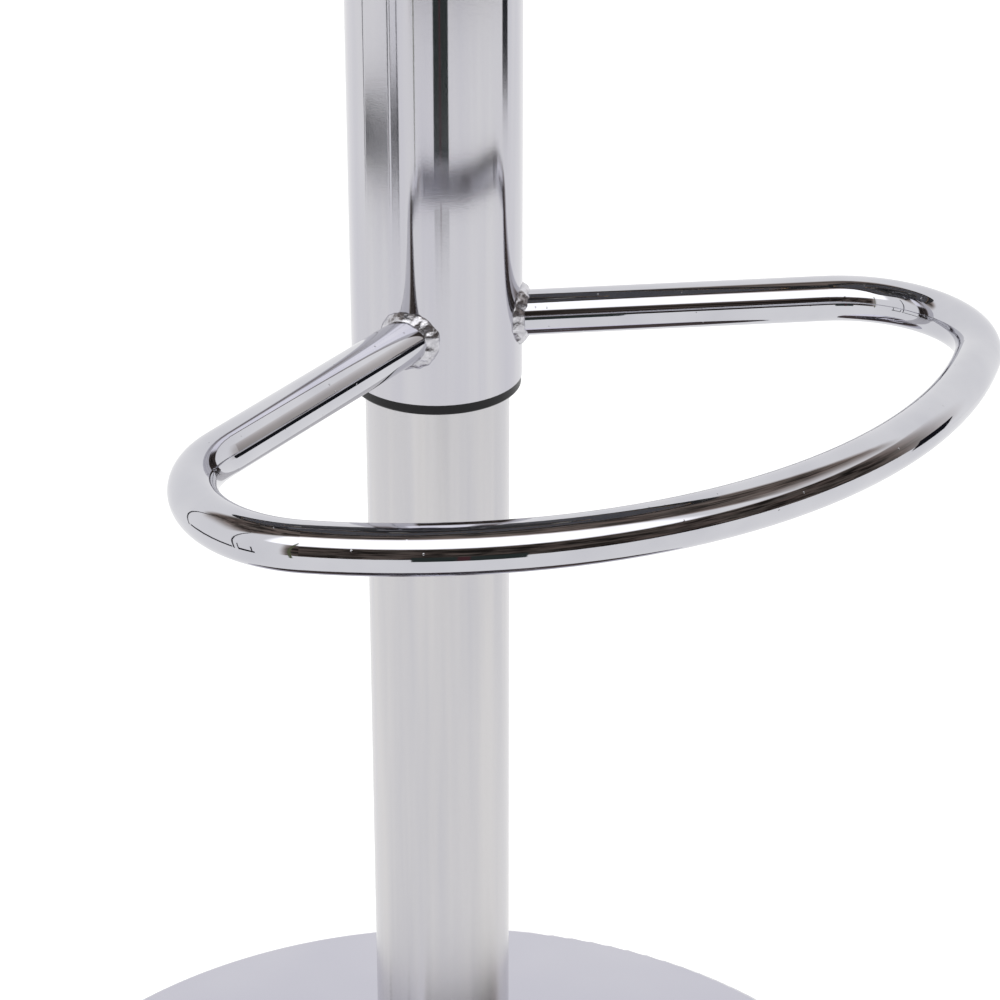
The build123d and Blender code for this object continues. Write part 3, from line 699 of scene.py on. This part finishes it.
def makeBead(name, side):
    # a bead laid round the arm, where the arm's skin meets the sleeve's
    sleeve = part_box("upper_sleeve")[1].x
    low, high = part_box("foot_ring")
    tube = (high.z - low.z) / 2
    angle = math.radians(weldBead["armAngle"])
    along = Vector((math.cos(angle), -math.sin(angle), 0))
    level = Vector((math.sin(angle), math.cos(angle), 0))
    start = Vector((0, -weldBead["armOffset"] * mm, (low.z + high.z) / 2))
    rows, cols = weldBead["around"], weldBead["across"]
    points = []
    for i in range(rows):
        turn = 2 * math.pi * i / rows
        offArm = level * math.cos(turn) + Vector((0, 0, math.sin(turn)))
        line = start + offArm * tube
        middle = line.x * along.x + line.y * along.y
        reach = -middle + math.sqrt(middle ** 2 + sleeve ** 2 - line.x ** 2 - line.y ** 2)
        root = line + along * reach
        offSleeve = Vector((root.x, root.y, 0)).normalized()
        out = (offArm + offSleeve).normalized()
        wide = (offArm - offSleeve).normalized()
        ripple = 0.5 + 0.5 * math.cos(weldBead["ripples"] * turn + 0.8 * math.sin(3 * turn))
        for j in range(cols):
            spin = 2 * math.pi * j / cols
            thick = weldBead["thick"] * (0.96 + 0.07 * ripple) * mm
            height = weldBead["high"] * (0.94 + 0.11 * ripple) * mm
            rise = weldBead["proud"] * mm + height * math.cos(spin)
            spot = root + out * rise + wide * thick * math.sin(spin)
            seed = spot * 1000 / weldBead["lumpSize"] + Vector((7 * side, 0, 0))
            lump = noise.noise(seed) + 0.35 * noise.noise(seed * 2.6)
            spot += (spot - root).normalized() * lump * weldBead["rough"] * mm
            points.append(Vector((spot.x * side, spot.y, spot.z)))
    faces = [face for i in range(rows) for face in band(i * cols, (i + 1) % rows * cols, cols)]
    bead = addObject(name, meshFrom(name, points, faces))
    bead.data.materials.append(finishes["weld"])
    pointOut(bead.data)
    return bead


def pointOut(mesh):
    shape = bmesh.new()
    shape.from_mesh(mesh)
    bmesh.ops.recalc_face_normals(shape, faces=shape.faces)
    if shape.calc_volume(signed=True) < 0:
        bmesh.ops.reverse_faces(shape, faces=shape.faces)
    shape.to_mesh(mesh)
    shape.free()


for side, name in ((1, "weld_bead_right"), (-1, "weld_bead_left")):
    bead = makeBead(name, side)
    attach(bead, "lift")
    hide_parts("foot_ring_welds")
print("weld beads laid")


cushion = {
    "inset": 3.0,           # mm inside the CAD cover, room to swell
    "wrap": 0.9,            # mm outside the CAD cover where it goes round the board
    "lower": 9.0,           # mm under the CAD cover's top
    "corner": 84.0,         # mm, plan radius
    "edge": 13.0,           # mm, radius where top meets side
    "voxel": 4.6,           # mm
    "pressure": 4.0,
    "frames": 20,
    "cap": 9.5,             # mm that the cloth may move
    "turnUnder": 28.0,      # mm of cover folded under the board
    "crease": 1.7,          # mm that the seam pulls in
    "creaseWidth": 8.0,
    "lumps": 0.45,          # mm
    "pucker": 0.35,         # mm, at the corners beside the seam
    "puckerFrom": 270.0,    # mm of x and y together
}


def outline(halfX, halfY, corner, count):
    # points round a rounded rectangle, evenly spaced, and the way out at each
    straightX, straightY = halfX - corner, halfY - corner
    quarter = corner * math.pi / 2
    runs = [        # a corner's centre, its first angle and the straight after it
        (straightX, -straightY, -90, 2 * straightY),
        (straightX, straightY, 0, 2 * straightX),
        (-straightX, straightY, 90, 2 * straightY),
        (-straightX, -straightY, 180, 2 * straightX),
    ]
    total = 4 * quarter + sum(r[3] for r in runs)
    found = []
    for i in range(count):
        rest = total * i / count
        for cx, cy, first, run in runs:
            if rest <= quarter:
                angle = math.radians(first + 90 * rest / quarter)
                out = Vector((math.cos(angle), math.sin(angle), 0))
                found.append((Vector((cx, cy, 0)) + out * corner, out))
                break
            rest -= quarter
            if rest <= run:
                angle = math.radians(first + 90)
                out = Vector((math.cos(angle), math.sin(angle), 0))
                onward = Vector((-out.y, out.x, 0))
                found.append((Vector((cx, cy, 0)) + out * corner + onward * rest, out))
                break
            rest -= run
    return found


def cushionForm(low, high):
    # a plain closed pad, a little smaller than the finished cushion
    inset = cushion["inset"] * mm
    halfX, halfY = high.x - inset, high.y - inset
    corner = cushion["corner"] * mm - inset
    bottom, top = low.z - mm, high.z - cushion["lower"] * mm
    edge = cushion["edge"] * mm
    wrap = -(cushion["inset"] + cushion["wrap"]) * mm
    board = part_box("seat_board")[1].z
    fold = 1.6 * mm         # how round the cover turns under
    profile = [(bottom, wrap + fold), (bottom + 0.5 * mm, wrap + 0.5 * mm), (bottom + fold, wrap)]
    profile += [(bottom + fold + (board - bottom) * k / 4, wrap) for k in range(1, 4)]
    start = board + 4 * mm
    profile += [(start + (top - edge - start) * k / 8, wrap * (1 - k / 8) ** 3) for k in range(9)]
    profile += [
        (top - edge + edge * math.sin(math.radians(a)), edge - edge * math.cos(math.radians(a)))
        for a in (15, 30, 45, 60, 75, 90)
    ]
    count = 240
    ring = outline(halfX, halfY, corner, count)
    points = [spot - out * draw + Vector((0, 0, z)) for z, draw in profile for spot, out in ring]
    faces = [tuple(reversed(range(count)))]
    last = (len(profile) - 1) * count
    for first in range(0, last, count):
        faces += band(first, first + count, count)
    faces.append(tuple(range(last, last + count)))
    return meshFrom("cushionForm", points, faces)


def applied(thing, name):
    # the mesh that the object's modifiers make, as a mesh of its own
    ready = thing.evaluated_get(bpy.context.evaluated_depsgraph_get())
    mesh = bpy.data.meshes.new_from_object(ready)
    mesh.name = name
    return mesh


def inflate(thing, heldBelow):
    # cloth under a little pressure, held where the cover is stapled to the board
    rest = [v.co.copy() for v in thing.data.vertices]
    group = thing.vertex_groups.new(name="held")
    group.add([i for i, co in enumerate(rest) if co.z < heldBelow], 1.0, "REPLACE")
    cloth = thing.modifiers.new("cloth", "CLOTH")
    cloth.settings.quality = 6
    cloth.settings.mass = 0.3
    cloth.settings.tension_stiffness = 12
    cloth.settings.compression_stiffness = 12
    cloth.settings.bending_stiffness = 0.6
    cloth.settings.vertex_group_mass = "held"
    cloth.settings.use_pressure = True
    cloth.settings.uniform_pressure_force = cushion["pressure"]
    cloth.settings.effector_weights.gravity = 0
    cloth.collision_settings.use_collision = False
    scene = bpy.context.scene
    for number in range(1, cushion["frames"] + 1):
        scene.frame_set(number)
    swollen = applied(thing, "swollen")
    cap = cushion["cap"] * mm
    for vertex, start in zip(swollen.vertices, rest):
        move = vertex.co - start
        if move.length > 0:
            vertex.co = start + move * (cap * math.tanh(move.length / cap) / move.length)
    thing.modifiers.remove(cloth)
    thing.data = swollen
    scene.frame_set(1)


def seamPath(tree, low, high, outward, lift, slant):
    # where the piping runs: the edge between top and side, found on the swollen cover
    inset = cushion["inset"] * mm
    edge = cushion["edge"] * mm
    top = high.z - cushion["lower"] * mm
    ring = outline(high.x - inset, high.y - inset, cushion["corner"] * mm - inset, 420)
    points = []
    for spot, out in ring:
        centre = spot - out * edge + Vector((0, 0, top - edge))
        slope = math.radians(slant)
        way = out * math.cos(slope) + Vector((0, 0, math.sin(slope)))
        centre = centre + outward * (out * -math.sin(slope) + Vector((0, 0, math.cos(slope))))
        hit = tree.ray_cast(centre + way * 0.06, -way)[0]
        points.append((hit if hit else centre + way * edge) + way * lift)
    return points


def treeOf(mesh):
    shape = bmesh.new()
    shape.from_mesh(mesh)
    tree = BVHTree.FromBMesh(shape)
    shape.free()
    return tree


def shapeSeams(mesh, path):
    finder = KDTree(len(path))
    for i, spot in enumerate(path):
        finder.insert(spot, i)
    finder.balance()
    width = cushion["creaseWidth"] * mm
    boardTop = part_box("seat_board")[1].z
    normals = [Vector(n.vector) for n in mesh.vertex_normals]
    for vertex, normal in zip(mesh.vertices, normals):
        co = vertex.co.copy()
        spot, index, away = finder.find(co)
        pull = max(0.0, 1 - (away / width) ** 2) ** 2 * cushion["crease"] * mm
        outward = abs(co.x) + abs(co.y) - cushion["puckerFrom"] * mm
        cornerness = min(1.0, max(0.0, outward / (30 * mm)))
        fade = math.exp(-away / (9 * mm))
        gather = math.sin(index * 1.9 + 3 * noise.noise(co * 40))
        pucker = gather * fade * cornerness * cushion["pucker"] * mm
        lump = noise.noise(co * 26) * cushion["lumps"] * mm if co.z > boardTop else 0.0
        vertex.co = co + normal * (lump + pucker - pull)


def openUnderside(thing, low, high):
    # leave a turned-in hem under the board's edge, and a recess where the board shows
    turn = cushion["turnUnder"] * mm
    ring = outline(high.x - turn, high.y - turn, cushion["corner"] * mm - turn, 160)
    count = len(ring)
    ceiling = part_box("seat_board")[0].z + 6 * mm
    points = [spot + Vector((0, 0, z)) for z in (low.z - 20 * mm, ceiling) for spot, out in ring]
    faces = [tuple(reversed(range(count))), tuple(range(count, 2 * count))]
    faces += band(0, count, count)
    block = addObject("underCut", meshFrom("underCut", points, faces), smooth=False)
    cut = thing.modifiers.new("cut", "BOOLEAN")
    cut.operation = "DIFFERENCE"
    cut.solver = "EXACT"
    cut.object = block
    mesh = applied(thing, "seat_cushion")
    thing.modifiers.remove(cut)
    thing.data = mesh
    bpy.data.objects.remove(block)


def makeCushion():
    low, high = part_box("seat_cover")
    form = addObject("seat_cushion", cushionForm(low, high))
    remesh = form.modifiers.new("remesh", "REMESH")
    remesh.mode = "VOXEL"
    remesh.voxel_size = cushion["voxel"] * mm
    even = applied(form, "evenPad")
    form.modifiers.remove(remesh)
    form.data = even
    inflate(form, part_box("seat_board")[1].z)
    smooth = form.modifiers.new("smooth", "SUBSURF")
    smooth.levels = 1
    smooth.render_levels = 1
    finer = applied(form, "finePad")
    form.modifiers.remove(smooth)
    form.data = finer
    path = seamPath(treeOf(finer), low, high, 0, 0, 45)
    shapeSeams(finer, path)
    openUnderside(form, low, high)
    form.data.materials.clear()
    form.data.materials.append(finishes["leatherette"])
    form.data.polygons.foreach_set("use_smooth", [True] * len(form.data.polygons))
    return form


seat = makeCushion()
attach(seat, "lift")
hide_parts("seat_cover", "seat_foam")
print("cushion sewn and filled,", len(seat.data.polygons), "faces")


trim = {                    # all in mm
    "pipingRadius": 2.7,
    "pipingLift": 0.9,
    "stitchLength": 3.4,
    "stitchGap": 1.3,
    "threadRadius": 0.32,
    "stitchInset": 7.0,     # from the piping, on the top panel
    "stapleWidth": 10.0,
    "stapleWire": 0.7,
    "staplePitch": 24.0,
    "stapleInset": 15.0,
    "stapleProud": 0.15,    # under the hem's face
}


def newTree(name, sizes):
    tree = bpy.data.node_groups.new(name, "GeometryNodeTree")
    tree.interface.new_socket("Geometry", in_out="INPUT", socket_type="NodeSocketGeometry")
    for label in sizes:
        tree.interface.new_socket(label, in_out="INPUT", socket_type="NodeSocketFloat")
    tree.interface.new_socket("Finish", in_out="INPUT", socket_type="NodeSocketMaterial")
    tree.interface.new_socket("Geometry", in_out="OUTPUT", socket_type="NodeSocketGeometry")
    return tree, addNode(tree, "NodeGroupInput")


def endTree(tree, start, shape):
    whole = addNode(tree, "GeometryNodeRealizeInstances", inputs={0: shape})
    smooth = addNode(tree, "GeometryNodeSetShadeSmooth", inputs={0: whole.outputs[0]})
    inputs = {0: smooth.outputs[0], "Material": start.outputs["Finish"]}
    dyed = addNode(tree, "GeometryNodeSetMaterial", inputs=inputs)
    addNode(tree, "NodeGroupOutput", inputs={0: dyed.outputs[0]})


def cordTree():
    # a round cord along the path
    tree, start = newTree("cordAlong", ["Radius"])
    line = addNode(tree, "GeometryNodeMeshToCurve", inputs={0: start.outputs["Geometry"]})
    inputs = {"Resolution": 16, "Radius": start.outputs["Radius"]}
    section = addNode(tree, "GeometryNodeCurvePrimitiveCircle", inputs=inputs)
    inputs = {0: line.outputs[0], 1: section.outputs[0]}
    solid = addNode(tree, "GeometryNodeCurveToMesh", inputs=inputs)
    endTree(tree, start, solid.outputs[0])
    return tree


def rowTree(kind):
    # one small piece after another along the path, each turned to follow it
    tree, start = newTree(kind + "Row", ["Pitch", "Length", "Width", "Height"])
    line = addNode(tree, "GeometryNodeMeshToCurve", inputs={0: start.outputs["Geometry"]})
    inputs = {0: line.outputs[0], "Length": start.outputs["Pitch"]}
    spots = addNode(tree, "GeometryNodeResampleCurve", {"mode": "LENGTH"}, inputs)
    way = addNode(tree, "GeometryNodeInputTangent")
    turn = addNode(
        tree, "FunctionNodeAlignRotationToVector", {"axis": "X"}, {"Vector": way.outputs[0]}
    )
    size = addNode(
        tree, "ShaderNodeCombineXYZ",
        inputs={0: start.outputs["Length"], 1: start.outputs["Width"], 2: start.outputs["Height"]},
    )
    if kind == "stitch":
        inputs = {"Segments": 8, "Rings": 6, "Radius": 0.5}
        piece = addNode(tree, "GeometryNodeMeshUVSphere", inputs=inputs)
    else:
        piece = addNode(tree, "GeometryNodeMeshCube", inputs={"Size": (1, 1, 1)})
    row = addNode(
        tree, "GeometryNodeInstanceOnPoints",
        inputs={
            "Points": spots.outputs[0],
            "Instance": piece.outputs[0],
            "Rotation": turn.outputs[0],
            "Scale": size.outputs[0],
        },
    )
    endTree(tree, start, row.outputs[0])
    return tree


def runTree(name, tree, path, values, finish):
    # lay the path, let the tree build on it, and keep the result as a plain mesh
    edges = [(i, (i + 1) % len(path)) for i in range(len(path))]
    holder = addObject(name + "Path", meshFrom(name + "Path", path, edges=edges), smooth=False)
    builder = holder.modifiers.new("builder", "NODES")
    builder.node_group = tree
    for item in tree.interface.items_tree:
        if item.in_out == "INPUT" and item.name in values:
            builder[item.identifier] = float(values[item.name])
        if item.in_out == "INPUT" and item.name == "Finish":
            builder[item.identifier] = finish
    mesh = applied(holder, name)
    holder.modifiers.remove(builder)
    bpy.data.objects.remove(holder)
    return addObject(name, mesh, smooth=False)


def makeTrim():
    low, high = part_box("seat_cover")
    found = treeOf(seat.data)
    piping = runTree(
        "seat_piping", cordTree(), seamPath(found, low, high, 0, trim["pipingLift"] * mm, 45),
        {"Radius": trim["pipingRadius"] * mm}, finishes["leatherette"],
    )
    stitchPath = seamPath(found, low, high, trim["stitchInset"] * mm, 0.05 * mm, 62)
    stitches = runTree(
        "seat_stitches", rowTree("stitch"), stitchPath,
        {
            "Pitch": (trim["stitchLength"] + trim["stitchGap"]) * mm,
            "Length": trim["stitchLength"] * mm,
            "Width": 2 * trim["threadRadius"] * mm,
            "Height": 2 * trim["threadRadius"] * mm,
        },
        finishes["thread"],
    )
    inset = trim["stapleInset"] * mm
    hem = outline(high.x - inset, high.y - inset, cushion["corner"] * mm - inset, 300)
    staplePath = []
    for spot, out in hem:
        hit = found.ray_cast(spot + Vector((0, 0, low.z - 0.05)), Vector((0, 0, 1)))[0]
        under = hit if hit else spot + Vector((0, 0, low.z))
        staplePath.append(under - Vector((0, 0, trim["stapleProud"] * mm)))
    staples = runTree(
        "seat_staples", rowTree("staple"), staplePath,
        {
            "Pitch": trim["staplePitch"] * mm,
            "Length": trim["stapleWidth"] * mm,
            "Width": 1.2 * trim["stapleWire"] * mm,
            "Height": trim["stapleWire"] * mm,
        },
        finishes["zinc"],
    )
    slots = {piping: "seat_leatherette", stitches: "seat_leatherette", staples: "zinc_steel"}
    for piece, slot in slots.items():
        pointOut(piece.data)
        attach(piece, "lift")


makeTrim()
print("piping, stitches and staples added")
